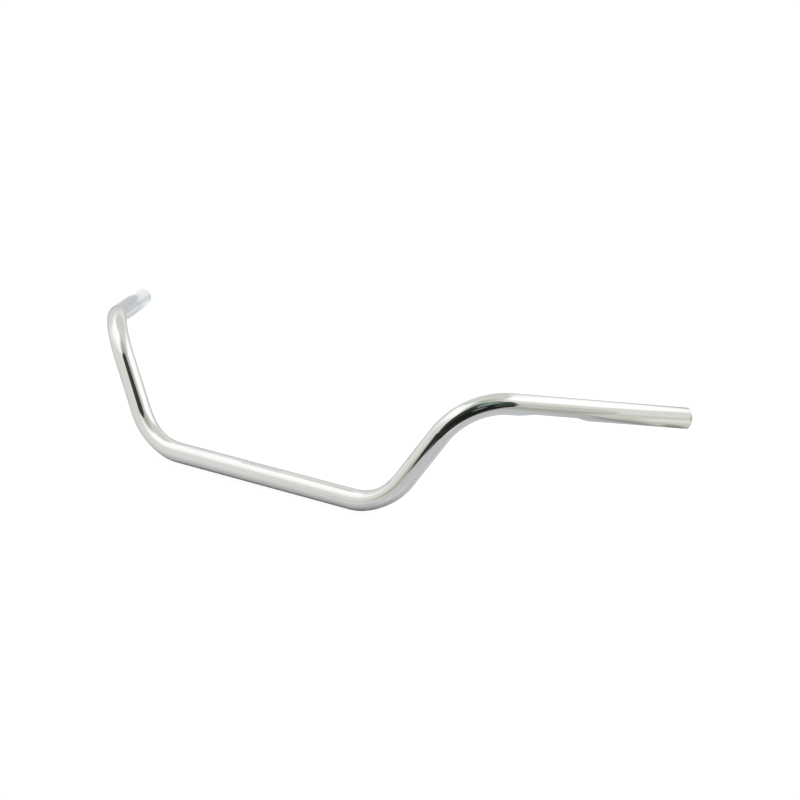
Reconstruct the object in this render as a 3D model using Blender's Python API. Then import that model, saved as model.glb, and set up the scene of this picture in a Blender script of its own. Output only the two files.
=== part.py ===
"""Motorcycle handlebar: one bent 1 inch tube with an expander end cap set in each end.

Metres, +Z up, +X towards the rider's left hand, +Y back towards the rider.
The origin is on the underside of the tube at mid-span, where the lower halves
of the riser clamps bear. The bar is drawn at its fitted angle, with the legs
leaning back and the grips drooping a little.
"""
import bmesh
import bpy
from math import atan, cos, pi, radians, sin, sqrt, tan
from mathutils import Matrix, Vector

# Tube
TUBE_OD = 0.0254
TUBE_WALL = 0.0025
SIDES = 28

# Centreline: half the span, the leg and the grip, each measured between corners
HALF_SPAN = 0.1795
LEG = 0.1725
GRIP = 0.2870
LEG_SLOPE = radians(57.4)
LEG_LEAN = radians(14.3)
GRIP_SPLAY = radians(55.46)
GRIP_DROOP = radians(11.1)
LOWER_RADIUS = 0.0826
UPPER_RADIUS = 0.0758
LOWER_STEPS = 12
UPPER_STEPS = 14

# A cold bend squeezes the tube a little in the plane of the bend
LOWER_SQUEEZE = 0.09
UPPER_SQUEEZE = 0.02
SPREAD_SHARE = 0.4

# Wiring dimple pressed into the lower front of each grip, next to the bend. It runs
# in gently from the bend and runs out steeply towards the end of the bar.
DIMPLE_START = 0.0605
DIMPLE_END = 0.1570
RUN_IN = 0.0280
RUN_OUT = 0.0150
RUN_STEPS = 4
DIMPLE_DEPTH = 0.0027
DIMPLE_HOLLOW = 0.0006
DIMPLE_TURN = radians(-15.0)

# End cap set: cap, M6 socket screw, rubber sleeve and cone nut
GAP = 0.0003
FLANGE = 0.0025
FLANGE_ROUND = 0.0011
SPIGOT = 0.0100
SPIGOT_BEVEL = 0.0008
SCREW_RADIUS = 0.0030
SCREW_LENGTH = 0.0420
SCREW_TIP = 0.0006
HEAD_RADIUS = 0.0050
HEAD_HEIGHT = 0.0060
HEAD_BEVEL = 0.0005
HEAD_RECESS = 0.0003
HEX_FLATS = 0.0050
HEX_DEPTH = 0.0035
SLEEVE = 0.0220
SLEEVE_BULGE = 0.0005
CONE_DEPTH = 0.0070
CONE_MOUTH = 0.0078
CONE_THROAT = 0.0048
NUT_LIP = 0.0040
NUT_RADIUS = 0.0086
TURNED_SIDES = 36
ROUND_STEPS = 4

TUBE_RADIUS = TUBE_OD / 2
BORE = TUBE_RADIUS - TUBE_WALL
# The tube is a prism with a flat facing down, so its flat is nearer than its corners
FLAT_RADIUS = TUBE_RADIUS * cos(pi / SIDES)

CHROME = ((0.84, 0.85, 0.86), 0.08, 1.0)
STEEL = ((0.62, 0.62, 0.64), 0.25, 1.0)
ZINC = ((0.66, 0.67, 0.68), 0.35, 1.0)
RUBBER = ((0.03, 0.03, 0.03), 0.75, 0.0)


def clear_scene():
    for obj in list(bpy.data.objects):
        bpy.data.objects.remove(obj, do_unlink=True)


def material(name, look):
    colour, roughness, metallic = look
    mat = bpy.data.materials.new(name)
    mat.use_nodes = True
    shader = mat.node_tree.nodes["Principled BSDF"]
    shader.inputs["Base Color"].default_value = (*colour, 1.0)
    shader.inputs["Roughness"].default_value = roughness
    shader.inputs["Metallic"].default_value = metallic
    return mat


def add_object(name, mesh, parent=None):
    obj = bpy.data.objects.new(name, mesh)
    obj.parent = parent
    bpy.context.collection.objects.link(obj)
    return obj


def mesh_from(name, bm, mat, sharp=radians(35)):
    bmesh.ops.recalc_face_normals(bm, faces=bm.faces)
    mesh = bpy.data.meshes.new(name)
    bm.to_mesh(mesh)
    bm.free()
    mesh.shade_smooth()
    mesh.set_sharp_from_angle(angle=sharp)
    mesh.materials.append(mat)
    return mesh


# ---------------------------------------------------------------- centreline

class Station:
    """One cross-section of the tube: its centre, its two side vectors and its shape."""

    def __init__(self, centre, turn, squeeze=0.0, inward=None, pressed=0.0):
        self.centre = centre
        self.turn = turn
        self.squeeze = squeeze
        self.inward = inward
        self.pressed = pressed

    def ring(self, radius, dimple_way):
        points = []
        for side in range(SIDES):
            angle = 2 * pi * (side + 0.5) / SIDES
            spoke = self.turn @ Vector((0, cos(angle), sin(angle))) * radius
            if self.squeeze:
                along = self.inward * spoke.dot(self.inward)
                across = spoke - along
                spoke = along * (1 - self.squeeze) + across * (1 + SPREAD_SHARE * self.squeeze)
            if self.pressed:
                spoke = press(spoke, radius, self.pressed, dimple_way)
            points.append(self.centre + spoke)
        return points


def press(spoke, radius, share, way):
    """Push a point of the ring in to the dimple's flat, and deeper along its middle."""
    height = spoke.dot(way)
    level = radius - DIMPLE_DEPTH * share
    if height <= level:
        return spoke
    half_width = sqrt(radius ** 2 - level ** 2)
    offset = (spoke - way * height).length / half_width
    hollow = DIMPLE_HOLLOW * share * max(0.0, 1 - offset ** 2)
    return spoke - way * (height - level + hollow)


def grip_direction():
    flat = cos(GRIP_DROOP)
    return Vector((flat * cos(GRIP_SPLAY), flat * sin(GRIP_SPLAY), -sin(GRIP_DROOP)))


def leg_direction():
    rise = sin(LEG_SLOPE)
    return Vector((cos(LEG_SLOPE), rise * sin(LEG_LEAN), rise * cos(LEG_LEAN)))


def dimple_direction():
    """Straight down from the grip, turned a little towards the front."""
    grip = grip_direction()
    down = -Vector((0, 0, 1)) - grip * -grip.z
    return Matrix.Rotation(DIMPLE_TURN, 3, grip) @ down.normalized()


def bend(corner, start_turn, before, after, radius, steps, squeeze):
    """Stations round a bend that leaves one straight and joins the next at a corner."""
    angle = before.angle(after)
    axis = before.cross(after).normalized()
    inward = axis.cross(before)
    first = corner - before * radius * tan(angle / 2)
    hub = first + inward * radius
    stations = []
    for step in range(steps + 1):
        swing = Matrix.Rotation(angle * step / steps, 3, axis)
        share = sin(pi * step / steps) ** 2
        stations.append(Station(
            hub - swing @ inward * radius,
            swing @ start_turn,
            squeeze * share,
            swing @ inward,
        ))
    return stations


def dimple_shares():
    """Distance from the upper corner, and how far the dimple is pressed there."""
    shares = []
    for step in range(RUN_STEPS + 1):
        part = step / RUN_STEPS
        shares.append((DIMPLE_START + RUN_IN * part, sin(pi / 2 * part) ** 2))
    for step in range(RUN_STEPS + 1):
        part = step / RUN_STEPS
        shares.append((DIMPLE_END - RUN_OUT * (1 - part), cos(pi / 2 * part) ** 2))
    return shares


def half_stations():
    """Stations from mid-span out to the square-cut end on the rider's left."""
    across = Vector((1, 0, 0))
    leg = leg_direction()
    grip = grip_direction()
    middle = Vector((0, 0, FLAT_RADIUS))
    lower = middle + across * HALF_SPAN
    upper = lower + leg * LEG
    stations = [Station(middle, Matrix.Identity(3))]
    stations += bend(lower, stations[-1].turn, across, leg,
                     LOWER_RADIUS, LOWER_STEPS, LOWER_SQUEEZE)
    stations += bend(upper, stations[-1].turn, leg, grip,
                     UPPER_RADIUS, UPPER_STEPS, UPPER_SQUEEZE)
    turn = stations[-1].turn
    for distance, share in dimple_shares():
        stations.append(Station(upper + grip * distance, turn, pressed=share))
    stations.append(Station(upper + grip * (GRIP - FLANGE - GAP), turn))
    return stations


# ---------------------------------------------------------------- tube

def mirrored(points):
    return [Vector((-p.x, p.y, p.z)) for p in points]


def whole_skin(stations, radius):
    """Rings of one skin from the right end, through mid-span, to the left end."""
    way = dimple_direction()
    left = [station.ring(radius, way) for station in stations]
    right = [mirrored(ring) for ring in reversed(left[1:])]
    return right + left


def make_tube(mat):
    stations = half_stations()
    bm = bmesh.new()
    skins = []
    for radius in (TUBE_RADIUS, BORE):
        rings = whole_skin(stations, radius)
        skins.append([[bm.verts.new(point) for point in ring] for ring in rings])
    for rings in skins:
        for here, there in zip(rings, rings[1:]):
            for side in range(SIDES):
                after = (side + 1) % SIDES
                bm.faces.new((here[side], here[after], there[after], there[side]))
    outer, inner = skins
    for end in (0, -1):
        for side in range(SIDES):
            after = (side + 1) % SIDES
            bm.faces.new((outer[end][side], outer[end][after],
                          inner[end][after], inner[end][side]))
    return add_object("handlebar_tube", mesh_from("handlebar_tube", bm, mat))


# ---------------------------------------------------------------- end cap set

def lathe(profile):
    """Closed body turned about Z from a loop of (radius, height) points."""
    bm = bmesh.new()
    columns = []
    for radius, height in profile:
        if radius == 0:
            columns.append([bm.verts.new((0, 0, height))] * TURNED_SIDES)
            continue
        column = []
        for side in range(TURNED_SIDES):
            angle = 2 * pi * side / TURNED_SIDES
            column.append(bm.verts.new((radius * cos(angle), radius * sin(angle), height)))
        columns.append(column)
    for here, there in zip(columns, columns[1:] + columns[:1]):
        for side in range(TURNED_SIDES):
            after = (side + 1) % TURNED_SIDES
            corners = [here[side], here[after], there[after], there[side]]
            face = list(dict.fromkeys(corners))
            if len(face) > 2:
                bm.faces.new(face)
    return bm


def rounded(radius, height, size):
    """Points of a rounded outer corner, from the top face down to the rim."""
    points = []
    for step in range(ROUND_STEPS + 1):
        angle = pi / 2 * step / ROUND_STEPS
        points.append((radius - size + size * sin(angle), height - size + size * cos(angle)))
    return points


# Heights along the end's axis, from the tube's cut face outwards
CAP_FACE = GAP + FLANGE
CAP_BACK = GAP - SPIGOT
HEAD_TOP = CAP_FACE - HEAD_RECESS
HEAD_SEAT = HEAD_TOP - HEAD_HEIGHT
SPIGOT_RADIUS = BORE * cos(pi / SIDES) - GAP
HOLE = SCREW_RADIUS + GAP
SLEEVE_FRONT = CAP_BACK - GAP
SLEEVE_BACK = SLEEVE_FRONT - SLEEVE
CONE_WALL = GAP / cos(atan((CONE_MOUTH - CONE_THROAT) / CONE_DEPTH))


def cap_mesh(mat):
    counterbore = HEAD_RADIUS + GAP + HEAD_BEVEL / 2
    profile = [
        (HOLE, CAP_BACK),
        (HOLE, HEAD_SEAT - GAP),
        (counterbore, HEAD_SEAT - GAP),
        (counterbore, CAP_FACE),
        *rounded(TUBE_RADIUS, CAP_FACE, FLANGE_ROUND),
        (TUBE_RADIUS, GAP),
        (SPIGOT_RADIUS, GAP),
        (SPIGOT_RADIUS, CAP_BACK + SPIGOT_BEVEL),
        (SPIGOT_RADIUS - SPIGOT_BEVEL, CAP_BACK),
    ]
    return mesh_from("end_cap", lathe(profile), mat)


def screw_mesh(mat):
    tip = HEAD_SEAT - SCREW_LENGTH
    profile = [
        (0, HEAD_TOP),
        (HEAD_RADIUS - HEAD_BEVEL, HEAD_TOP),
        (HEAD_RADIUS, HEAD_TOP - HEAD_BEVEL),
        (HEAD_RADIUS, HEAD_SEAT),
        (SCREW_RADIUS, HEAD_SEAT),
        (SCREW_RADIUS, tip + SCREW_TIP),
        (SCREW_RADIUS - SCREW_TIP, tip),
        (0, tip),
    ]
    return mesh_from("cap_screw", lathe(profile), mat)


def hex_cutter(parent):
    """Six-sided cutter for the screw's drive socket."""
    bm = bmesh.new()
    bmesh.ops.create_cone(bm, cap_ends=True, segments=6, depth=2 * HEX_DEPTH,
                          radius1=HEX_FLATS / sqrt(3), radius2=HEX_FLATS / sqrt(3))
    mesh = bpy.data.meshes.new("hex_cutter")
    bm.to_mesh(mesh)
    bm.free()
    cutter = add_object(parent.name + "_hex_cutter", mesh, parent)
    cutter.location.z = HEAD_TOP
    cutter.hide_render = True
    cutter.display_type = "WIRE"
    return cutter


def sleeve_mesh(mat):
    """Rubber sleeve that the cone nut squeezes out against the bore."""
    middle = (SLEEVE_FRONT + SLEEVE_BACK) / 2
    slack = SPIGOT_RADIUS - SLEEVE_BULGE
    profile = [
        (HOLE, SLEEVE_FRONT),
        (slack, SLEEVE_FRONT),
        (SPIGOT_RADIUS, middle + SLEEVE / 4),
        (SPIGOT_RADIUS, middle - SLEEVE / 4),
        (slack, SLEEVE_BACK),
        (CONE_MOUTH + CONE_WALL, SLEEVE_BACK),
        (CONE_THROAT + CONE_WALL, SLEEVE_BACK + CONE_DEPTH),
        (HOLE, SLEEVE_BACK + CONE_DEPTH),
    ]
    return mesh_from("expander_sleeve", lathe(profile), mat)


def nut_mesh(mat):
    """Cone nut, its taper inside the mouth of the sleeve and its lip behind it."""
    profile = [
        (HOLE, SLEEVE_BACK + CONE_DEPTH - GAP),
        (CONE_THROAT, SLEEVE_BACK + CONE_DEPTH - GAP),
        (CONE_MOUTH, SLEEVE_BACK - GAP),
        (NUT_RADIUS, SLEEVE_BACK - GAP),
        (NUT_RADIUS, SLEEVE_BACK - NUT_LIP),
        (HOLE, SLEEVE_BACK - NUT_LIP),
    ]
    return mesh_from("cone_nut", lathe(profile), mat)


def end_axis(name, side):
    """Empty at a tube end, its +Z pointing out of the tube along the grip."""
    last = half_stations()[-1]
    centre = Vector((side * last.centre.x, last.centre.y, last.centre.z))
    way = grip_direction()
    way.x *= side
    empty = bpy.data.objects.new(name, None)
    empty.rotation_euler = way.to_track_quat("Z", "Y").to_euler()
    empty.location = centre
    bpy.context.collection.objects.link(empty)
    return empty


def make_end_sets(chrome, steel, zinc, rubber):
    cap = cap_mesh(chrome)
    screw = screw_mesh(steel)
    sleeve = sleeve_mesh(rubber)
    nut = nut_mesh(zinc)
    for name, side in (("left", 1), ("right", -1)):
        axis = end_axis(name + "_end", side)
        add_object(name + "_end_cap", cap, axis)
        add_object(name + "_expander_sleeve", sleeve, axis)
        add_object(name + "_cone_nut", nut, axis)
        bolt = add_object(name + "_cap_screw", screw, axis)
        socket = bolt.modifiers.new("socket", "BOOLEAN")
        socket.object = hex_cutter(axis)


def main():
    clear_scene()
    make_tube(material("tube_chrome", CHROME))
    make_end_sets(
        material("cap_chrome", CHROME),
        material("screw_steel", STEEL),
        material("nut_zinc", ZINC),
        material("sleeve_rubber", RUBBER),
    )


main()
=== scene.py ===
"""Looks of the chrome handlebar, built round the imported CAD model.

The tube is swept again along the CAD centreline with a fine mesh that carries
the knurling of the clamp area, the ovalled bends and the wiring dimples. The
end cap sets are turned again with their small radii, grooves and threads.
"""

from math import atan, cos, pi, radians, sin, sqrt, tan

import bmesh
import bpy
import numpy as np
from mathutils import Matrix, Vector


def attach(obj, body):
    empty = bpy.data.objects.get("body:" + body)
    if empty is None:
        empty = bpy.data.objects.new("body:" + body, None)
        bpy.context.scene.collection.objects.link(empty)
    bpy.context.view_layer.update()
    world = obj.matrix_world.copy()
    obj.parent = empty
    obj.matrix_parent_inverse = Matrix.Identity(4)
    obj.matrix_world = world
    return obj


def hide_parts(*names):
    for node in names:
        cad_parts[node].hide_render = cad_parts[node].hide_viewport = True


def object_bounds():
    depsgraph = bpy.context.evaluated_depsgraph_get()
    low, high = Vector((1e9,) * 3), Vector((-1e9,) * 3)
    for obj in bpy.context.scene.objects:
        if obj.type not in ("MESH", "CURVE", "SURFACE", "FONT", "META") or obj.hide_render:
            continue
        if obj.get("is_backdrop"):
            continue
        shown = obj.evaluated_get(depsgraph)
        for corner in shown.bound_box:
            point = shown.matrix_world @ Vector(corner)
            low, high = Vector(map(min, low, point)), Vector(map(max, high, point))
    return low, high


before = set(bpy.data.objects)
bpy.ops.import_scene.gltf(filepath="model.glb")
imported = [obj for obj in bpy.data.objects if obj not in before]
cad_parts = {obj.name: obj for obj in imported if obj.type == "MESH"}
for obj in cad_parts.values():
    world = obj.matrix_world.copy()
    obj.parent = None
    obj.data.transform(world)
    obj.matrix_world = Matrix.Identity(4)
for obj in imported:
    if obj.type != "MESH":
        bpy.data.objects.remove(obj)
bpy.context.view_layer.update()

# ---------------------------------------------------------------- sizes, metres

# Driving dimensions of the tube, the same as the CAD's
TUBE_RADIUS = 0.0127
BORE = 0.0102
CAD_SIDES = 28
AXIS_HEIGHT = TUBE_RADIUS * cos(pi / CAD_SIDES)
HALF_SPAN = 0.1795
LEG = 0.1725
GRIP = 0.2870
LEG_SLOPE = radians(57.4)
LEG_LEAN = radians(14.3)
GRIP_SPLAY = radians(55.46)
GRIP_DROOP = radians(11.1)
LOWER_RADIUS = 0.0826
UPPER_RADIUS = 0.0758
LOWER_SQUEEZE = 0.09
UPPER_SQUEEZE = 0.02
SPREAD_SHARE = 0.4
DIMPLE_START = 0.0605
DIMPLE_END = 0.1570
RUN_IN = 0.0280
RUN_OUT = 0.0150
DIMPLE_DEPTH = 0.0027
DIMPLE_HOLLOW = 0.0006
DIMPLE_TURN = radians(-15.0)

# Fineness of the swept tube
SIDES = 240
BEND_STEP = 0.0025
DIMPLE_STEP = 0.0012
KNURL_STEP = 0.00045
CUT_BEVEL = 0.0002
CUT_BEVEL_STEPS = 3
SHARP_ANGLE = radians(40)
TINY = 1e-12

# Knurled patch on top of the clamp area
KNURL_HALF_LENGTH = 0.030
KNURL_HALF_ANGLE = radians(44)
KNURL_FADE = 0.0012
KNURL_MIDDLE = pi / 2 - LEG_LEAN
KNURL_PITCH = 0.0040
KNURL_DEPTH = 0.00030
KNURL_POWER = 3

# End cap set, the same places as in the CAD. Heights are along the grip from its cut face
GAP = 0.0003
SEAM = 0.00006
FLANGE = 0.0025
FLANGE_ROUND = 0.0011
SPIGOT = 0.0100
SPIGOT_RADIUS = BORE * cos(pi / CAD_SIDES) - GAP
HEAD_RADIUS = 0.0050
HEAD_HEIGHT = 0.0060
HEAD_BEVEL = 0.0005
HEAD_RECESS = 0.0003
HEX_FLATS = 0.0050
HEX_DEPTH = 0.0035
SCREW_RADIUS = 0.0030
SCREW_LENGTH = 0.0420
THREAD_PITCH = 0.0010
THREAD_DEPTH = 0.0006
THREAD_LENGTH = 0.0260
SLEEVE = 0.0220
CONE_DEPTH = 0.0070
CONE_MOUTH = 0.0078
CONE_THROAT = 0.0048
NUT_LIP = 0.0040
NUT_RADIUS = 0.0086
TURNED_SIDES = 96
ROUND_STEPS = 8
CAP_EDGE_STEPS = 3

# Small edges, thread and grooves, finer than in the CAD
COUNTERBORE_ROUND = 0.0004
CAP_EDGE_ROUND = 0.00015
SPIGOT_ROUND = 0.0008
SCREW_FILLET = 0.0002
SCREW_SIDES = 32
THREAD_ROWS_PER_TURN = 8
SLEEVE_GROOVES = 4
GROOVE_DEPTH = 0.0005
GROOVE_WIDTH = 0.0012
NUT_BEVEL = 0.0005

CAP_FACE = GAP + FLANGE
CAP_BACK = GAP - SPIGOT
HEAD_TOP = CAP_FACE - HEAD_RECESS
HEAD_SEAT = HEAD_TOP - HEAD_HEIGHT
SCREW_END = HEAD_SEAT - SCREW_LENGTH
THREAD_TOP = SCREW_END + THREAD_LENGTH
HOLE = SCREW_RADIUS + GAP
SLEEVE_FRONT = CAP_BACK - GAP
SLEEVE_BACK = SLEEVE_FRONT - SLEEVE
CONE_WALL = GAP / cos(atan((CONE_MOUTH - CONE_THROAT) / CONE_DEPTH))

# Camera
CAMERA_AZIMUTH = radians(35.75)
CAMERA_ELEVATION = radians(19.06)
CAMERA_DISTANCE = 2.8217
CAMERA_AIM = Vector((0.0743, 0.1807, 0.0735))
CAMERA_LENS = 101.71
SENSOR_WIDTH = 36.0
CLIP_START = 0.05


# ---------------------------------------------------------------- centreline

def unit(vector):
    return vector / np.linalg.norm(vector)


def turn_about(axis, angle):
    """Matrix that turns a column vector about an axis."""
    return np.array(Matrix.Rotation(angle, 3, Vector(axis)))


GRIP_WAY = np.array((
    cos(GRIP_DROOP) * cos(GRIP_SPLAY),
    cos(GRIP_DROOP) * sin(GRIP_SPLAY),
    -sin(GRIP_DROOP),
))
LEG_WAY = np.array((
    cos(LEG_SLOPE),
    sin(LEG_SLOPE) * sin(LEG_LEAN),
    sin(LEG_SLOPE) * cos(LEG_LEAN),
))
ACROSS = np.array((1.0, 0.0, 0.0))
LOWER_CORNER = np.array((HALF_SPAN, 0.0, AXIS_HEIGHT))
UPPER_CORNER = LOWER_CORNER + LEG_WAY * LEG


def dimple_way():
    """Straight down from the grip, turned a little towards the front."""
    down = unit(np.array((0.0, 0.0, -1.0)) - GRIP_WAY * -GRIP_WAY[2])
    return turn_about(GRIP_WAY, DIMPLE_TURN) @ down


class Station:
    """One cross-section of the tube."""

    def __init__(self, centre, turn, along, squeeze=0.0, inward=ACROSS, pressed=0.0, trim=0.0):
        self.centre = centre
        self.turn = turn
        self.along = along
        self.squeeze = squeeze
        self.inward = inward
        self.pressed = pressed
        self.trim = trim


def straight(stations, end, step=None):
    """Adds stations up to a point further along the same straight."""
    last = stations[-1]
    reach = np.linalg.norm(end - last.centre)
    count = max(1, round(reach / step)) if step else 1
    for index in range(1, count + 1):
        share = index / count
        centre = last.centre + (end - last.centre) * share
        stations.append(Station(centre, last.turn, last.along + reach * share))


def bend(stations, corner, before, after, radius, squeeze):
    """Adds the stations of a round bend at a corner of the centreline."""
    angle = np.arccos(np.dot(before, after))
    axis = unit(np.cross(before, after))
    inward = np.cross(axis, before)
    first = corner - before * radius * tan(angle / 2)
    straight(stations, first)
    hub = first + inward * radius
    start = stations[-1]
    steps = round(radius * angle / BEND_STEP)
    for index in range(1, steps + 1):
        swing = turn_about(axis, angle * index / steps)
        share = sin(pi * index / steps) ** 2
        stations.append(Station(
            hub - swing @ inward * radius,
            swing @ start.turn,
            start.along + radius * angle * index / steps,
            squeeze * share,
            swing @ inward,
        ))


def dimple_share(distance):
    """How far the dimple is pressed in at a distance from the upper corner."""
    run_in = np.clip((distance - DIMPLE_START) / RUN_IN, 0, 1)
    run_out = np.clip((DIMPLE_END - distance) / RUN_OUT, 0, 1)
    return sin(pi / 2 * run_in) ** 2 * sin(pi / 2 * run_out) ** 2


def half_stations(knurled):
    """Stations from mid-span to the cut end on the rider's left."""
    stations = [Station(np.array((0.0, 0.0, AXIS_HEIGHT)), np.eye(3), 0.0)]
    if knurled:
        edge = KNURL_HALF_LENGTH + 2 * KNURL_FADE
        straight(stations, stations[0].centre + ACROSS * edge, KNURL_STEP)
    bend(stations, LOWER_CORNER, ACROSS, LEG_WAY, LOWER_RADIUS, LOWER_SQUEEZE)
    bend(stations, UPPER_CORNER, LEG_WAY, GRIP_WAY, UPPER_RADIUS, UPPER_SQUEEZE)
    straight(stations, UPPER_CORNER + GRIP_WAY * DIMPLE_START)
    first = len(stations)
    straight(stations, UPPER_CORNER + GRIP_WAY * DIMPLE_END, DIMPLE_STEP)
    for station in stations[first:]:
        distance = np.dot(station.centre - UPPER_CORNER, GRIP_WAY)
        station.pressed = dimple_share(distance)
    cut = UPPER_CORNER + GRIP_WAY * (GRIP - FLANGE - GAP)
    straight(stations, cut - GRIP_WAY * CUT_BEVEL)
    for index in range(1, CUT_BEVEL_STEPS + 1):
        angle = pi / 2 * index / CUT_BEVEL_STEPS
        straight(stations, cut - GRIP_WAY * CUT_BEVEL * (1 - sin(angle)))
        stations[-1].trim = CUT_BEVEL * (1 - cos(angle))
    return stations


# ---------------------------------------------------------------- tube

def knurl_depth(along, angles):
    """Depth of the diamond knurling, zero outside its patch.

    The patch is centred on the line of the tube that leans back with the legs."""
    around = (angles - KNURL_MIDDLE) * TUBE_RADIUS
    inside_length = np.clip((KNURL_HALF_LENGTH - abs(along)) / KNURL_FADE, 0, 1)
    inside_angle = np.clip((KNURL_HALF_ANGLE * TUBE_RADIUS - abs(around)) / KNURL_FADE, 0, 1)
    left_hand = abs((along + around) / KNURL_PITCH % 1 - 0.5) * 2
    right_hand = abs((along - around) / KNURL_PITCH % 1 - 0.5) * 2
    groove = np.maximum(left_hand, right_hand) ** KNURL_POWER
    return KNURL_DEPTH * groove * inside_length * inside_angle


def press(spokes, radius, share, way):
    """Pushes ring points in to the dimple's flat, and deeper along its middle."""
    heights = spokes @ way
    level = radius - DIMPLE_DEPTH * share
    half_width = sqrt(max(radius ** 2 - level ** 2, TINY))
    offsets = np.linalg.norm(spokes - np.outer(heights, way), axis=1) / half_width
    hollow = DIMPLE_HOLLOW * share * np.clip(1 - offsets ** 2, 0, 1)
    drop = np.where(heights > level, heights - level + hollow, 0.0)
    return spokes - np.outer(drop, way)


def ring(station, radius, knurled):
    """Points of one skin at a station, spaced round the tube."""
    angles = 2 * pi * (np.arange(SIDES) + 0.5) / SIDES
    reach = np.full(SIDES, radius - station.trim)
    if knurled:
        reach -= knurl_depth(station.centre[0], angles)
    flat = np.stack([np.zeros(SIDES), np.cos(angles), np.sin(angles)]) * reach
    spokes = (station.turn @ flat).T
    if station.squeeze:
        along = np.outer(spokes @ station.inward, station.inward)
        across = spokes - along
        spokes = along * (1 - station.squeeze) + across * (1 + SPREAD_SHARE * station.squeeze)
    if station.pressed:
        spokes = press(spokes, radius, station.pressed, dimple_way())
    return station.centre + spokes


def skin(radius, knurled):
    """Ring points and distances of one skin, from the right end to the left end."""
    stations = half_stations(knurled)
    left = [ring(station, radius, knurled) for station in stations]
    right = [points * (-1, 1, 1) for points in reversed(left[1:])]
    along = [station.along for station in stations]
    return np.array(right + left), np.array([-a for a in reversed(along[1:])] + along)


def band(here, there, along_here, along_there, quads, uvs):
    """Quads between two rings of vertex numbers, with metres as texture coordinates."""
    step = 2 * pi * TUBE_RADIUS / SIDES
    for side in range(SIDES):
        after = (side + 1) % SIDES
        quads.append((here[side], here[after], there[after], there[side]))
        uvs += [(side * step, along_here), (side * step + step, along_here),
                (side * step + step, along_there), (side * step, along_there)]


def make_tube(material):
    """The tube's outside and bore, joined by its two cut ends."""
    outer, outer_along = skin(TUBE_RADIUS, True)
    inner, inner_along = skin(BORE, False)
    points = np.concatenate([outer.reshape(-1, 3), inner.reshape(-1, 3)])
    numbers = np.arange(len(points)).reshape(-1, SIDES)
    outer_rows = numbers[:len(outer)]
    inner_rows = numbers[len(outer):]
    quads = []
    uvs = []
    for index in range(len(outer_rows) - 1):
        band(outer_rows[index + 1], outer_rows[index],
             outer_along[index + 1], outer_along[index], quads, uvs)
    for index in range(len(inner_rows) - 1):
        band(inner_rows[index], inner_rows[index + 1],
             inner_along[index], inner_along[index + 1], quads, uvs)
    band(outer_rows[0], inner_rows[0], outer_along[0], inner_along[0], quads, uvs)
    band(inner_rows[-1], outer_rows[-1], inner_along[-1], outer_along[-1], quads, uvs)
    mesh = bpy.data.meshes.new("tube_skin")
    mesh.from_pydata(points.tolist(), [], quads)
    layer = mesh.uv_layers.new(name="metres")
    layer.data.foreach_set("uv", np.array(uvs, np.float32).ravel())
    finish_piece("tube_skin", mesh, material, "handlebar_tube")


def add_object(name, data):
    """A new object in the scene."""
    thing = bpy.data.objects.new(name, data)
    bpy.context.scene.collection.objects.link(thing)
    return thing


def finish_piece(name, mesh, material, node, place=None):
    """A visible piece that stands for a CAD node."""
    mesh.validate()
    mesh.shade_smooth()
    mesh.set_sharp_from_angle(angle=SHARP_ANGLE)
    mesh.materials.append(material)
    piece = add_object(name, mesh)
    if place is not None:
        piece.matrix_world = place
    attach(piece, "root")
    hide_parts(node)
    return piece


# ---------------------------------------------------------------- end cap set

def end_place(side):
    """Places a turned part on a tube's cut face, +Z out along the grip."""
    way = Vector((side * GRIP_WAY[0], GRIP_WAY[1], GRIP_WAY[2]))
    cut = UPPER_CORNER + GRIP_WAY * (GRIP - FLANGE - GAP)
    turn = way.to_track_quat("Z", "Y").to_matrix().to_4x4()
    return Matrix.Translation((side * cut[0], cut[1], cut[2])) @ turn


def circle(bm, height, reaches):
    """Vertices spaced round the Z axis, each at its own distance from it."""
    vertices = []
    for side, reach in enumerate(reaches):
        angle = 2 * pi * side / len(reaches)
        vertices.append(bm.verts.new((reach * cos(angle), reach * sin(angle), height)))
    return vertices


def join_circles(bm, circles):
    """Quads between each circle of vertices and the next."""
    for here, there in zip(circles, circles[1:]):
        for side in range(len(here)):
            after = (side + 1) % len(here)
            bm.faces.new((here[side], here[after], there[after], there[side]))


def mesh_from(bm, name):
    mesh = bpy.data.meshes.new(name)
    bm.to_mesh(mesh)
    bm.free()
    return mesh


def lathe(name, profile):
    """Mesh of a body turned about Z from a closed loop of (radius, height) points."""
    bm = bmesh.new()
    circles = [circle(bm, height, [radius] * TURNED_SIDES) for radius, height in profile]
    join_circles(bm, circles + circles[:1])
    bmesh.ops.recalc_face_normals(bm, faces=bm.faces)
    return mesh_from(bm, name)


def arc(centre, radius, start, end, steps=ROUND_STEPS):
    """Profile points on an arc, angles measured from the radius axis."""
    points = []
    for step in range(steps + 1):
        angle = start + (end - start) * step / steps
        points.append((centre[0] + radius * cos(angle), centre[1] + radius * sin(angle)))
    return points


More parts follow.
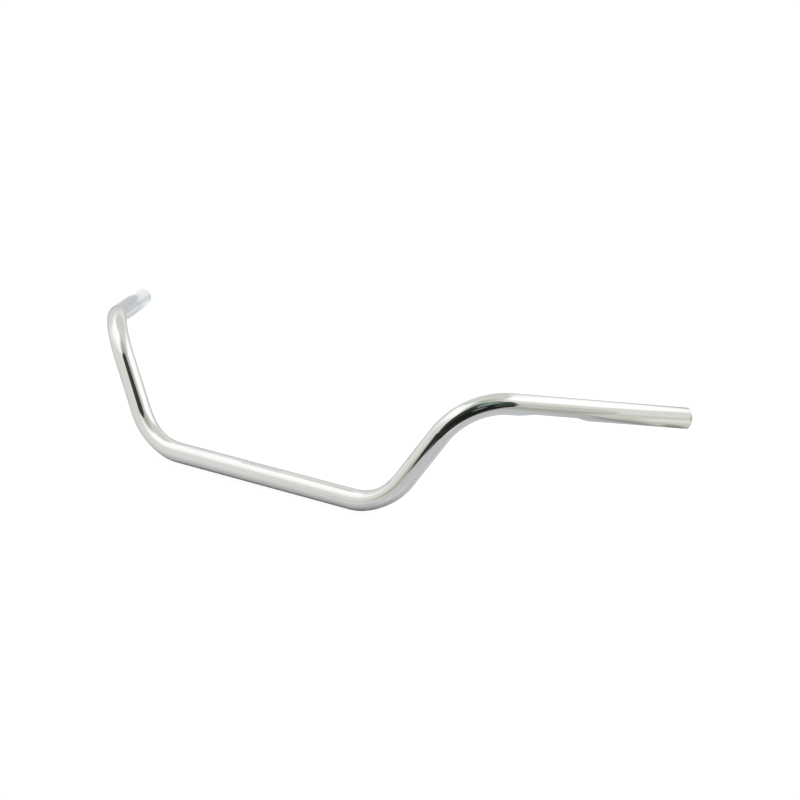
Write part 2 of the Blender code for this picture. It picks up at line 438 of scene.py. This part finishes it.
def cap_profile():
    """Flush cap: counterbored flange outside the tube and a spigot inside it."""
    counterbore = HEAD_RADIUS + GAP + HEAD_BEVEL / 2
    mouth = COUNTERBORE_ROUND
    corner = CAP_EDGE_ROUND
    spigot = SPIGOT_ROUND
    return [
        (HOLE, CAP_BACK + corner),
        (HOLE, HEAD_SEAT - GAP),
        (counterbore, HEAD_SEAT - GAP),
        *arc((counterbore + mouth, CAP_FACE - mouth), mouth, pi, pi / 2),
        *arc((TUBE_RADIUS - FLANGE_ROUND, CAP_FACE - FLANGE_ROUND), FLANGE_ROUND, pi / 2, 0),
        *arc((TUBE_RADIUS - corner, SEAM + corner), corner, 0, -pi / 2, CAP_EDGE_STEPS),
        (SPIGOT_RADIUS, SEAM),
        *arc((SPIGOT_RADIUS - spigot, CAP_BACK + spigot), spigot, 0, -pi / 2),
        (HOLE + corner, CAP_BACK),
    ]


def thread_reach(side, height):
    """Distance from the axis to the thread, which runs out at its top and at the tip."""
    angle = 2 * pi * side / SCREW_SIDES
    phase = (height / THREAD_PITCH - angle / (2 * pi)) % 1
    turns_from_tip = (height - SCREW_END) / THREAD_PITCH
    ends = min(1.0, turns_from_tip, (THREAD_TOP - height) / THREAD_PITCH)
    groove = THREAD_DEPTH * (1 - abs(2 * phase - 1)) * max(0.0, ends)
    return SCREW_RADIUS - groove - THREAD_DEPTH * max(0.0, 1 - turns_from_tip)


def screw_mesh():
    """Socket head cap screw: turned blank with a real helical thread on its tip end."""
    blank = (
        (HEAD_RADIUS - HEAD_BEVEL, HEAD_TOP),
        (HEAD_RADIUS, HEAD_TOP - HEAD_BEVEL),
        (HEAD_RADIUS, HEAD_SEAT + SCREW_FILLET),
        (HEAD_RADIUS - SCREW_FILLET, HEAD_SEAT),
        (SCREW_RADIUS + SCREW_FILLET, HEAD_SEAT),
        (SCREW_RADIUS, HEAD_SEAT - SCREW_FILLET),
    )
    bm = bmesh.new()
    circles = [circle(bm, height, [radius] * SCREW_SIDES) for radius, height in blank]
    rows = round(THREAD_LENGTH / THREAD_PITCH * THREAD_ROWS_PER_TURN)
    for row in range(rows + 1):
        height = THREAD_TOP - THREAD_LENGTH * row / rows
        reaches = [thread_reach(side, height) for side in range(SCREW_SIDES)]
        circles.append(circle(bm, height, reaches))
    join_circles(bm, circles)
    bm.faces.new(circles[0])
    bm.faces.new(circles[-1])
    bmesh.ops.recalc_face_normals(bm, faces=bm.faces)
    return mesh_from(bm, "cap_screw")


def cut_socket(piece, place):
    """Cuts the hexagon drive into a screw's head."""
    bm = bmesh.new()
    corner = HEX_FLATS / sqrt(3)
    bmesh.ops.create_cone(bm, cap_ends=True, segments=6, depth=2 * HEX_DEPTH,
                          radius1=corner, radius2=corner)
    cutter = add_object("hex_cutter", mesh_from(bm, "hex_cutter"))
    cutter.matrix_world = place @ Matrix.Translation((0, 0, HEAD_TOP))
    modifier = piece.modifiers.new("socket", "BOOLEAN")
    modifier.object = cutter
    apply_modifiers(piece)
    bpy.data.objects.remove(cutter)


def apply_modifiers(piece):
    """Keeps the shape that a piece's modifiers give it."""
    bpy.context.view_layer.update()
    graph = bpy.context.evaluated_depsgraph_get()
    finished = bpy.data.meshes.new_from_object(piece.evaluated_get(graph))
    piece.modifiers.clear()
    piece.data = finished


def sleeve_profile():
    """Rubber sleeve with moulded grooves round its outside."""
    low = SPIGOT_RADIUS - GROOVE_DEPTH
    outside = [(low, SLEEVE_FRONT)]
    for index in range(SLEEVE_GROOVES):
        middle = SLEEVE_FRONT - SLEEVE * (index + 1) / (SLEEVE_GROOVES + 1)
        outside += [
            (SPIGOT_RADIUS, middle + GROOVE_WIDTH),
            (SPIGOT_RADIUS, middle + GROOVE_WIDTH / 2),
            (low, middle + GROOVE_WIDTH / 4),
            (low, middle - GROOVE_WIDTH / 4),
            (SPIGOT_RADIUS, middle - GROOVE_WIDTH / 2),
            (SPIGOT_RADIUS, middle - GROOVE_WIDTH),
        ]
    return [
        (HOLE, SLEEVE_FRONT),
        *outside,
        (low, SLEEVE_BACK),
        (CONE_MOUTH + CONE_WALL, SLEEVE_BACK),
        (CONE_THROAT + CONE_WALL, SLEEVE_BACK + CONE_DEPTH),
        (HOLE, SLEEVE_BACK + CONE_DEPTH),
    ]


def nut_profile():
    """Cone nut with a bevelled lip behind the sleeve."""
    return [
        (HOLE, SLEEVE_BACK + CONE_DEPTH - GAP),
        (CONE_THROAT, SLEEVE_BACK + CONE_DEPTH - GAP),
        (CONE_MOUTH, SLEEVE_BACK - GAP),
        (NUT_RADIUS - NUT_BEVEL, SLEEVE_BACK - GAP),
        (NUT_RADIUS, SLEEVE_BACK - GAP - NUT_BEVEL),
        (NUT_RADIUS, SLEEVE_BACK - NUT_LIP + NUT_BEVEL),
        (NUT_RADIUS - NUT_BEVEL, SLEEVE_BACK - NUT_LIP),
        (HOLE, SLEEVE_BACK - NUT_LIP),
    ]


def make_end_sets(chrome, steel, zinc, rubber):
    """Cap, screw, sleeve and nut at each end. Left is the rider's left, at +X."""
    for name, side in (("left", 1), ("right", -1)):
        place = end_place(side)
        finish_piece(name + "_cap_turned", lathe("cap", cap_profile()), chrome,
                     name + "_end_cap", place=place)
        screw = finish_piece(name + "_socket_screw", screw_mesh(), steel,
                             name + "_cap_screw", place=place)
        cut_socket(screw, place)
        finish_piece(name + "_grooved_sleeve", lathe("sleeve", sleeve_profile()), rubber,
                     name + "_expander_sleeve", place=place)
        finish_piece(name + "_tapered_nut", lathe("nut", nut_profile()), zinc,
                     name + "_cone_nut", place=place)


# ---------------------------------------------------------------- materials

class Graph:
    """Small helper that adds and joins shader nodes."""

    def __init__(self, tree):
        self.tree = tree

    def add(self, kind, operation=None):
        node = self.tree.nodes.new(kind)
        if operation:
            node.operation = operation
        return node

    def put(self, value, socket):
        """Links a socket to a socket, or sets a plain value."""
        if isinstance(value, bpy.types.NodeSocket):
            self.tree.links.new(value, socket)
        else:
            socket.default_value = value

    def math(self, operation, first, second=0.0, third=0.0):
        node = self.add("ShaderNodeMath", operation)
        self.put(first, node.inputs[0])
        self.put(second, node.inputs[1])
        self.put(third, node.inputs[2])
        return node.outputs[0]

    def dot(self, vector, way):
        node = self.add("ShaderNodeVectorMath", "DOT_PRODUCT")
        self.put(vector, node.inputs[0])
        self.put(way, node.inputs[1])
        return node.outputs["Value"]

    def sum(self, first, second):
        node = self.add("ShaderNodeVectorMath", "ADD")
        self.put(first, node.inputs[0])
        self.put(second, node.inputs[1])
        return node.outputs[0]

    def spread(self, value, low, high, to_low=0.0, to_high=1.0):
        """Smooth step of a value between two limits."""
        node = self.add("ShaderNodeMapRange")
        node.interpolation_type = "SMOOTHSTEP"
        for index, item in enumerate((value, low, high, to_low, to_high)):
            self.put(item, node.inputs[index])
        return node.outputs[0]

    def blend(self, share, first, second):
        node = self.add("ShaderNodeMix")
        node.data_type = "RGBA"
        self.put(share, node.inputs[0])
        self.put(first, node.inputs[6])
        self.put(second, node.inputs[7])
        return node.outputs[2]

    def noise(self, vector, scale, detail=2.0, roughness=0.5):
        node = self.add("ShaderNodeTexNoise")
        self.put(vector, node.inputs["Vector"])
        node.inputs["Scale"].default_value = scale
        node.inputs["Detail"].default_value = detail
        node.inputs["Roughness"].default_value = roughness
        return node.outputs["Fac"]

    def stretch(self, vector, factors):
        node = self.add("ShaderNodeVectorMath", "MULTIPLY")
        self.put(vector, node.inputs[0])
        self.put(factors, node.inputs[1])
        return node.outputs[0]

    def bump(self, height, distance, normal=None):
        node = self.add("ShaderNodeBump")
        self.put(height, node.inputs["Height"])
        node.inputs["Distance"].default_value = distance
        if normal is not None:
            self.put(normal, node.inputs["Normal"])
        return node.outputs[0]


def new_material(name):
    """A material, its helper and its Principled shader."""
    material = bpy.data.materials.new(name)
    material.use_nodes = True
    tree = material.node_tree
    return material, Graph(tree), tree.nodes["Principled BSDF"]


def srgb(level):
    """Linear value of a display level from 0 to 255."""
    share = level / 255
    return share / 12.92 if share <= 0.04045 else ((share + 0.055) / 1.055) ** 2.4


CHROME_TINT = (0.80, 0.803, 0.785, 1.0)
CHROME_FILM = (0.77, 0.775, 0.765, 1.0)
EDGE_TINT = (0.68, 0.68, 0.67, 1.0)
KNURL_TINT = (0.84, 0.85, 0.88, 1.0)
KNURL_SHADE = (0.54, 0.55, 0.60, 1.0)
SCREW_STEEL = (0.56, 0.56, 0.57, 1.0)
NUT_ZINC = (0.60, 0.61, 0.62, 1.0)
RUBBER_BLACK = (0.018, 0.018, 0.019, 1.0)
RUBBER_BLOOM = (0.045, 0.045, 0.046, 1.0)
STAIN_SHARE = 0.8

# Grain of each noise, per metre. Buffing lines are fine round the tube and long along it
BUFFING_GRAIN = (9000.0, 120.0, 1.0)
SMUDGE_GRAIN = 28.0
RIPPLE_GRAIN = 55.0
WEAR_GRAIN = 260.0
TURNING_GRAIN = (200.0, 200.0, 6000.0)
STAIN_GRAIN = 250.0
RUBBER_GRAIN = 2500.0
BLOOM_GRAIN = 180.0

# Heights of the fine relief, metres
BUFFING_HEIGHT = 0.0000006
RIPPLE_HEIGHT = 0.00002
TURNING_HEIGHT = 0.00001
RUBBER_HEIGHT = 0.00003

# Roughness values, and what smudges, buffing and the knurling add to the chrome's
CHROME_ROUGHNESS = 0.015
SMUDGE_ROUGHNESS = 0.05
BUFFING_ROUGHNESS = 0.03
KNURL_ROUGHNESS = 0.10
SCREW_ROUGHNESS = 0.22
NUT_ROUGHNESS = 0.34
RUBBER_ROUGHNESS = (0.6, 0.85)

# Noise values between which an effect comes in
SMUDGE_RANGE = (0.52, 0.78)
FILM_RANGE = (0.45, 0.80)
WEAR_RANGE = (0.35, 0.60)
GRAIN_RANGE = (0.2, 0.8)

# Shade in the knurl's grooves: how narrow it is, and its share left where they are worn
GROOVE_SHADE_POWER = 4.0
WORN_SHARE = 0.7


def knurl_masks(graph, flat):
    """Masks of the knurled patch and of its grooves, from texture coordinates in metres."""
    along = graph.dot(flat, (0.0, 1.0, 0.0))
    around = graph.dot(flat, (1.0, 0.0, 0.0))
    around = graph.math("SUBTRACT", around, KNURL_MIDDLE * TUBE_RADIUS)
    patch = None
    groove = None
    half_width = KNURL_HALF_ANGLE * TUBE_RADIUS
    worn = graph.noise(flat, WEAR_GRAIN, 3.0, 0.6)
    for value, half in ((along, KNURL_HALF_LENGTH), (around, half_width)):
        inside = graph.spread(graph.math("ABSOLUTE", value), half - KNURL_FADE, half, 1.0, 0.0)
        patch = inside if patch is None else graph.math("MULTIPLY", patch, inside)
    for hand in ("ADD", "SUBTRACT"):
        turns = graph.math("DIVIDE", graph.math(hand, along, around), KNURL_PITCH)
        middle = graph.math("SUBTRACT", graph.math("FRACT", turns), 0.5)
        line = graph.math("MULTIPLY", graph.math("ABSOLUTE", middle), 2.0)
        groove = line if groove is None else graph.math("MAXIMUM", groove, line)
    left_by_wear = graph.spread(worn, *WEAR_RANGE, WORN_SHARE, 1.0)
    narrow = graph.math("POWER", groove, GROOVE_SHADE_POWER)
    deep = graph.math("MULTIPLY", narrow, left_by_wear)
    return patch, graph.math("MULTIPLY", patch, deep)


def chrome_material(name, mapped):
    """Bright chrome plate: faint buffing lines, finger smudges and a trace of waviness."""
    material, graph, shader = new_material(name)
    where = graph.add("ShaderNodeTexCoord").outputs["Object"]
    lined = graph.add("ShaderNodeTexCoord").outputs["UV"] if mapped else where
    lines = graph.noise(graph.stretch(lined, BUFFING_GRAIN), 1.0, 3.0)
    smudges = graph.noise(where, SMUDGE_GRAIN, 4.0, 0.6)
    film = graph.spread(smudges, *SMUDGE_RANGE, 0.0, SMUDGE_ROUGHNESS)
    rough = graph.math("MULTIPLY_ADD", lines, BUFFING_ROUGHNESS, film)
    rough = graph.math("ADD", rough, CHROME_ROUGHNESS)
    colour = graph.blend(graph.spread(smudges, *FILM_RANGE), CHROME_TINT, CHROME_FILM)
    if mapped:
        patch, grooves = knurl_masks(graph, lined)
        colour = graph.blend(patch, colour, KNURL_TINT)
        colour = graph.blend(grooves, colour, KNURL_SHADE)
        rough = graph.math("MULTIPLY_ADD", patch, KNURL_ROUGHNESS, rough)
    shader.inputs["Metallic"].default_value = 1.0
    graph.put(colour, shader.inputs["Base Color"])
    graph.put(rough, shader.inputs["Roughness"])
    shader.inputs["Specular Tint"].default_value = EDGE_TINT
    wavy = graph.bump(graph.noise(where, RIPPLE_GRAIN, 1.0), RIPPLE_HEIGHT)
    graph.put(graph.bump(lines, BUFFING_HEIGHT, wavy), shader.inputs["Normal"])
    return material


def steel_material(name, colour, roughness):
    """Machined metal with fine turning marks."""
    material, graph, shader = new_material(name)
    where = graph.add("ShaderNodeTexCoord").outputs["Object"]
    marks = graph.noise(graph.stretch(where, TURNING_GRAIN), 1.0, 2.0)
    stains = graph.noise(where, STAIN_GRAIN, 3.0)
    shader.inputs["Metallic"].default_value = 1.0
    darker = tuple(channel * STAIN_SHARE for channel in colour[:3]) + (1.0,)
    graph.put(graph.blend(stains, darker, colour), shader.inputs["Base Color"])
    graph.put(graph.spread(marks, *GRAIN_RANGE, roughness * 0.8, roughness * 1.3),
              shader.inputs["Roughness"])
    graph.put(graph.bump(marks, TURNING_HEIGHT), shader.inputs["Normal"])
    return material


def rubber_material():
    """Black rubber with a fine grain and a greyish bloom."""
    material, graph, shader = new_material("sleeve_rubber")
    where = graph.add("ShaderNodeTexCoord").outputs["Object"]
    grain = graph.noise(where, RUBBER_GRAIN, 3.0)
    bloom = graph.noise(where, BLOOM_GRAIN, 3.0)
    colour = graph.blend(bloom, RUBBER_BLACK, RUBBER_BLOOM)
    graph.put(colour, shader.inputs["Base Color"])
    rough = graph.spread(grain, *GRAIN_RANGE, *RUBBER_ROUGHNESS)
    graph.put(rough, shader.inputs["Roughness"])
    graph.put(graph.bump(grain, RUBBER_HEIGHT), shader.inputs["Normal"])
    return material


# ---------------------------------------------------------------- studio

def way_to(azimuth, elevation):
    """Unit vector to a place on the studio walls. Azimuth 0 is +Y and 90 is +X."""
    a = radians(azimuth)
    e = radians(elevation)
    return (cos(e) * sin(a), cos(e) * cos(a), sin(e))


# An area of the walls stays on its own half of the dome and fades out before the other
# half. A lower power rounds its corners more
AHEAD_FADE = (0.05, 0.15)
CORNER_POWER = 3.0


def wall_area(graph, direction, azimuth, elevation, half_width, half_height, turn, soft):
    """Mask of one rounded area of the studio walls, its sizes and turn in degrees."""
    middle = Vector(way_to(azimuth, elevation))
    level = Vector(way_to(azimuth + 90, 0))
    upright = level.cross(middle)
    side = level * cos(radians(turn)) + upright * sin(radians(turn))
    up = upright * cos(radians(turn)) - level * sin(radians(turn))
    ahead = graph.dot(direction, middle)
    safe = graph.math("MAXIMUM", ahead, AHEAD_FADE[0])
    total = None
    for way, half in ((side, half_width), (up, half_height)):
        share = graph.math("DIVIDE", graph.dot(direction, way), safe)
        share = graph.math("ABSOLUTE", graph.math("DIVIDE", share, tan(radians(half))))
        term = graph.math("POWER", share, CORNER_POWER)
        total = term if total is None else graph.math("ADD", total, term)
    reach = graph.math("POWER", total, 1 / CORNER_POWER)
    area = graph.spread(reach, 1 - soft, 1 + soft, 1.0, 0.0)
    return graph.math("MULTIPLY", area, graph.spread(ahead, *AHEAD_FADE))


# The room that the bright metal mirrors, as a dome round a point in front of the bar
ROOM_CENTRE = Vector((0.20, -0.73, 0.27))
ROOM_RADIUS = 1.88
WALL_LEVEL = 214

# Tints of what stands in the room
PLAIN = (1.0, 1.0, 1.0)
CREAM = (0.985, 1.0, 0.955)
OLIVE = (1.0, 1.0, 0.90)
UMBER = (1.03, 1.0, 0.84)
GREEN = (0.88, 1.0, 0.84)
TEAL = (0.76, 1.0, 0.93)

# Areas of the room that differ from its walls: azimuth, elevation, half width, half height
# and turn in degrees, softness, display level from 0 to 255, and tint
ROOM_AREAS = (
    ("dim_corner", -165, -15, 30, 15, 5, 0.7, 170, OLIVE),
    ("soft_box", -60, 55, 70, 40, -65, 0.8, 255, PLAIN),
    ("table_back", -50, 10, 25, 15, -15, 0.4, 220, PLAIN),
    ("side_light", -35, 40, 10, 15, 10, 0.4, 230, PLAIN),
    ("back_wall", 5, 45, 40, 30, 25, 0.2, 205, CREAM),
    ("window", 20, 25, 30, 10, 30, 0.4, 260, PLAIN),
    ("ceiling", 130, 65, 40, 25, -55, 0.7, 165, GREEN),
    ("front_wall", 145, 20, 42, 55, 45, 0.1, 55, GREEN),
    ("doorway", 120, -5, 50, 40, -30, 0.1, 30, UMBER),
    ("door_top", 95, 40, 20, 15, 25, 0.2, 130, TEAL),
    ("door_glass", 115, 15, 10, 5, 15, 0.5, 135, TEAL),
    ("front_top", 145, 60, 15, 5, 0, 0.4, 60, GREEN),
    ("table_edge", 150, -29, 60, 9, 15, 0.15, 45, UMBER),
    ("door_side", 80, 10, 10, 20, 30, 0.1, 70, TEAL),
    ("side_wall", 67, 0, 5, 15, 20, 0.1, 190, CREAM),
)


def mirrored_level(level, tint):
    """Brightness that the plated metal shows as a display level when it mirrors it."""
    grey = srgb(level) / CHROME_TINT[1]
    return tuple(grey * channel for channel in tint) + (1.0,)


def glossy_only(piece):
    """Leaves an object to mirror reflections: nothing else sees it or is lit by it."""
    piece.visible_camera = False
    piece.visible_diffuse = False
    piece.visible_transmission = False
    piece.visible_shadow = False
    piece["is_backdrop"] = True


def make_room():
    """Glowing dome that only mirror reflections see."""
    bm = bmesh.new()
    bmesh.ops.create_icosphere(bm, subdivisions=5, radius=ROOM_RADIUS)
    mesh = mesh_from(bm, "studio_room")
    room = add_object("studio_room", mesh)
    room.location = ROOM_CENTRE
    material = bpy.data.materials.new("room_walls")
    material.use_nodes = True
    material.cycles.emission_sampling = "NONE"
    tree = material.node_tree
    graph = Graph(tree)
    place = graph.add("ShaderNodeTexCoord").outputs["Object"]
    normalise = graph.add("ShaderNodeVectorMath", "NORMALIZE")
    graph.put(place, normalise.inputs[0])
    direction = normalise.outputs[0]
    colour = mirrored_level(WALL_LEVEL, CREAM)
    for _, *shape, level, tint in ROOM_AREAS:
        share = wall_area(graph, direction, *shape)
        colour = graph.blend(share, colour, mirrored_level(level, tint))
    emission = graph.add("ShaderNodeEmission")
    graph.put(colour, emission.inputs["Color"])
    graph.put(emission.outputs[0], tree.nodes["Material Output"].inputs["Surface"])
    tree.nodes.remove(tree.nodes["Principled BSDF"])
    mesh.materials.append(material)
    glossy_only(room)


# Tilted white card that passes just below the clamp area and both grip ends
CARD_TILT = radians(17.7)
CARD_CLEARANCE = 0.0010
CARD_LEFT = -1.60
CARD_RIGHT = 1.60
CARD_BACK = 1.60
CARD_FRONT = -1.60
CARD_STEP_X = 0.38
CARD_STEP_FRONT = -0.08


def card_point(x, up_slope):
    """Point of the tilted card from its distances across and up the slope."""
    slope = Vector((0, cos(CARD_TILT), sin(CARD_TILT)))
    normal = Vector((0, -sin(CARD_TILT), cos(CARD_TILT)))
    drop = TUBE_RADIUS - AXIS_HEIGHT * cos(CARD_TILT) + CARD_CLEARANCE
    return Vector((x, 0, 0)) + slope * up_slope - normal * drop


# The sheet's edge runs up the slope under the grip on the rider's left, with a duller table past
# it. It steps sideways between two heights on the slope and is sharper higher up. A thin painted
# shadow runs along the edge, and the table is painted darker low on the slope as shade
EDGE_LOW = 0.466
EDGE_HIGH = 0.403
STEP_LOW = 0.12
STEP_HIGH = 0.20
# Half width and depth of the painted shadow along the sheet's edge
EDGE_SHADOW_WIDTH = 0.019
EDGE_SHADOW_DEPTH = 0.36
# Heights up the slope over which the table's painted shade fades out; they also set how sharp the
# sheet's edge is
TABLE_SHADE_FADE = (0.095, 0.155)
# Heights up the slope over which the painted shadow along the edge comes in
EDGE_SHADOW_FADE = (0.090, 0.125)
EDGE_SOFTNESS = (0.020, 0.002)
# The sheet's colour darkens towards +X between these distances across
DARKER_RANGE = (0.05, 0.35)
SHEET_COOL = (0.87, 0.90, 0.945, 1.0)
SHEET_WHITE = (0.93, 0.93, 0.94, 1.0)
SHEET_DARKER = (0.80, 0.81, 0.835, 1.0)
# Table colour low on the slope, darkened as painted shade, and its own colour higher up
TABLE_NEAR_SHADED = (0.62, 0.622, 0.56, 1.0)
TABLE_FAR = (0.88, 0.895, 0.82, 1.0)
BLACK = (0.0, 0.0, 0.0, 1.0)

# Shade below the cut end on the rider's left: across, up the slope, radius, softness
END_SHADE = (0.424, 0.266, 0.020, 0.70)
END_SHADE_DEPTH = 0.62

# Shade along the clamp area: half length, its fade, half width and depth
BAR_SHADE = (0.15, 0.07, 0.07, 0.15)

# Bluish part of the sheet: across, up the slope, radius, softness
COOL_AREA = (-0.46, 0.33, 0.20, 0.50)

# Pools of light on the sheet: across, up the slope, radius, softness, strength and colour
LIGHT_POOLS = (
    (-0.395, 0.245, 0.080, 0.50, 0.33, (0.96, 1.0, 1.06)),
    (-0.50, 0.38, 0.17, 0.50, 0.07, (0.96, 1.0, 1.06)),
    (-0.467, 0.344, 0.037, 0.15, 0.25, (1.12, 1.02, 0.80)),
    (-0.430, 0.335, 0.070, 0.50, 0.07, (0.99, 1.0, 1.03)),
    (0.29, 0.07, 0.15, 0.50, 0.08, (0.98, 1.0, 1.0)),
    (0.455, 0.265, 0.065, 0.50, 0.20, (0.97, 1.0, 0.95)),
)


def round_share(graph, x, slope, middle_x, middle_slope, radius, soft):
    """Mask of a round area of the card that fades over the soft share of its radius."""
    away_x = graph.math("SUBTRACT", x, middle_x)
    away_slope = graph.math("SUBTRACT", slope, middle_slope)
    squares = graph.math("MULTIPLY_ADD", away_x, away_x,
                         graph.math("MULTIPLY", away_slope, away_slope))
    return graph.spread(graph.math("SQRT", squares), radius * (1 - soft), radius, 1.0, 0.0)


def bar_shade(graph, x, slope):
    """Depth of the shade that lies on the sheet along the clamp area."""
    half, fade, width, depth = BAR_SHADE
    near = graph.spread(graph.math("ABSOLUTE", slope), 0.0, width, depth, 0.0)
    along = graph.spread(graph.math("ABSOLUTE", x), half, half + fade, 1.0, 0.0)
    return graph.math("MULTIPLY", near, along)


def card_material():
    """White sheet on a duller table, with painted shade low on the table and along the sheet's
    edge.
    """
    material, graph, shader = new_material("card_paper")
    place = graph.add("ShaderNodeTexCoord").outputs["Object"]
    x = graph.dot(place, (1.0, 0.0, 0.0))
    slope = graph.dot(place, (0.0, cos(CARD_TILT), sin(CARD_TILT)))
    edge = graph.spread(slope, STEP_LOW, STEP_HIGH, EDGE_LOW, EDGE_HIGH)
    past_edge = graph.math("SUBTRACT", x, edge)
    sheet = graph.blend(graph.spread(x, *DARKER_RANGE), SHEET_WHITE, SHEET_DARKER)
    sheet = graph.blend(round_share(graph, x, slope, *COOL_AREA), sheet, SHEET_COOL)
    high = graph.spread(slope, *TABLE_SHADE_FADE)
    # Table colour, with painted shade low on the slope
    table = graph.blend(high, TABLE_NEAR_SHADED, TABLE_FAR)
    soft_edge = graph.spread(high, 0.0, 1.0, *EDGE_SOFTNESS)
    share = graph.math("MULTIPLY_ADD", graph.math("DIVIDE", past_edge, soft_edge), 0.5, 0.5)
    colour = graph.blend(graph.spread(share, 0.0, 1.0), sheet, table)
    # Painted shadow along the sheet's edge, only higher up the slope
    edge_shadow = graph.spread(graph.math("ABSOLUTE", past_edge), 0.0, EDGE_SHADOW_WIDTH, EDGE_SHADOW_DEPTH, 0.0)
    edge_shadow = graph.math("MULTIPLY", edge_shadow, graph.spread(slope, *EDGE_SHADOW_FADE))
    shade = graph.math("MULTIPLY", round_share(graph, x, slope, *END_SHADE), END_SHADE_DEPTH)
    dark = graph.math("MAXIMUM", edge_shadow, shade)
    dark = graph.math("MAXIMUM", dark, bar_shade(graph, x, slope))
    # The painted shades darken the card's colour towards black
    graph.put(graph.blend(dark, colour, BLACK), shader.inputs["Base Color"])
    shader.inputs["Roughness"].default_value = 1.0
    shader.inputs["Specular IOR Level"].default_value = 0.0
    glow = None
    for *place, strength, tint in LIGHT_POOLS:
        lit = tuple(channel * strength for channel in tint) + (1.0,)
        light = graph.blend(round_share(graph, x, slope, *place), BLACK, lit)
        glow = light if glow is None else graph.sum(glow, light)
    graph.put(glow, shader.inputs["Emission Color"])
    shader.inputs["Emission Strength"].default_value = 1.0
    material.cycles.emission_sampling = "NONE"
    return material


def make_card():
    """L-shaped card lit by the lamps. The metal mirrors it and the bar's shadow on it."""
    outline = (
        (CARD_LEFT, CARD_FRONT), (CARD_STEP_X, CARD_FRONT), (CARD_STEP_X, CARD_STEP_FRONT),
        (CARD_RIGHT, CARD_STEP_FRONT), (CARD_RIGHT, CARD_BACK), (CARD_LEFT, CARD_BACK),
    )
    mesh = bpy.data.meshes.new("tilted_card")
    mesh.from_pydata([card_point(*corner) for corner in outline], [], [range(len(outline))])
    mesh.materials.append(card_material())
    glossy_only(add_object("tilted_card", mesh))


CAMERA_WHITE = 1.0
AMBIENT = 0.45
WHITE = (1.0, 1.0, 1.0, 1.0)
FLOOR_HALF = 12.0
FLOOR_COLOUR = (0.16, 0.16, 0.16, 1.0)
FLOOR_ROUGHNESS = 0.9
FLOOR_SHINE = 0.1
FLOOR_GLOW = 0.92


def make_world():
    """White to the camera, and an even pale light from all round to everything else."""
    world = bpy.data.worlds.new("studio")
    bpy.context.scene.world = world
    world.use_nodes = True
    graph = Graph(world.node_tree)
    glimpse = graph.add("ShaderNodeLightPath").outputs["Is Camera Ray"]
    level = graph.spread(glimpse, 0.0, 1.0, AMBIENT, CAMERA_WHITE)
    graph.put(level, world.node_tree.nodes["Background"].inputs["Color"])


def make_floor():
    """Plain pale floor that the clamp area rests on, seen from above only."""
    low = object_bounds()[0][2]
    mesh = bpy.data.meshes.new("studio_floor")
    ways = ((-1, -1), (1, -1), (1, 1), (-1, 1))
    mesh.from_pydata([(x * FLOOR_HALF, y * FLOOR_HALF, low) for x, y in ways], [], [range(4)])
    floor = add_object("studio_floor", mesh)
    material, graph, shader = new_material("floor_paper")
    shader.inputs["Base Color"].default_value = FLOOR_COLOUR
    shader.inputs["Roughness"].default_value = FLOOR_ROUGHNESS
    shader.inputs["Specular IOR Level"].default_value = FLOOR_SHINE
    shader.inputs["Emission Color"].default_value = WHITE
    shader.inputs["Emission Strength"].default_value = FLOOR_GLOW
    material.cycles.emission_sampling = "NONE"
    below = graph.add("ShaderNodeNewGeometry").outputs["Backfacing"]
    clear = graph.add("ShaderNodeBsdfTransparent").outputs[0]
    mix = graph.add("ShaderNodeMixShader")
    for value, socket in zip((below, shader.outputs[0], clear), mix.inputs):
        graph.put(value, socket)
    graph.put(mix.outputs[0], material.node_tree.nodes["Material Output"].inputs["Surface"])
    mesh.materials.append(material)
    floor.visible_glossy = False
    floor.visible_shadow = False
    floor.visible_diffuse = False
    floor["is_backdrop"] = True


LAMP_AIM = Vector((0.0, 0.1, 0.05))

# Lamps: azimuth, elevation, distance, size, power and colour
LAMPS = (
    ("key_lamp", -94, 54, 3.0, 2.2, 38.0, (0.95, 0.985, 1.0)),
    ("window_lamp", 25, 34, 2.8, 1.2, 30.0, (1.0, 0.99, 0.95)),
)


def make_lamps():
    """Soft lamps. They light the floor and the card, and the metal doesn't mirror them."""
    for name, azimuth, elevation, distance, size, power, colour in LAMPS:
        light = bpy.data.lights.new(name, "AREA")
        light.shape = "DISK"
        light.size = size
        light.energy = power
        light.color = colour
        lamp = add_object(name, light)
        away = Vector(way_to(azimuth, elevation))
        lamp.location = LAMP_AIM + away * distance
        lamp.rotation_euler = away.to_track_quat("Z", "Y").to_euler()
        lamp.visible_glossy = False


def make_camera():
    """Camera in front of the bar, to the rider's left and above it."""
    data = bpy.data.cameras.new("camera")
    data.lens = CAMERA_LENS
    data.sensor_width = SENSOR_WIDTH
    data.clip_start = CLIP_START
    camera = add_object("camera", data)
    back = Vector((
        sin(CAMERA_AZIMUTH) * cos(CAMERA_ELEVATION),
        -cos(CAMERA_AZIMUTH) * cos(CAMERA_ELEVATION),
        sin(CAMERA_ELEVATION),
    ))
    camera.location = CAMERA_AIM + back * CAMERA_DISTANCE
    camera.rotation_euler = (-back).to_track_quat("-Z", "Y").to_euler()
    bpy.context.scene.camera = camera


def main():
    bpy.context.scene.view_settings.view_transform = "Standard"
    make_tube(chrome_material("tube_chrome", True))
    make_end_sets(
        chrome_material("cap_chrome", False),
        steel_material("screw_steel", SCREW_STEEL, SCREW_ROUGHNESS),
        steel_material("nut_zinc", NUT_ZINC, NUT_ROUGHNESS),
        rubber_material(),
    )
    make_room()
    make_card()
    make_world()
    make_floor()
    make_lamps()
    make_camera()


main()
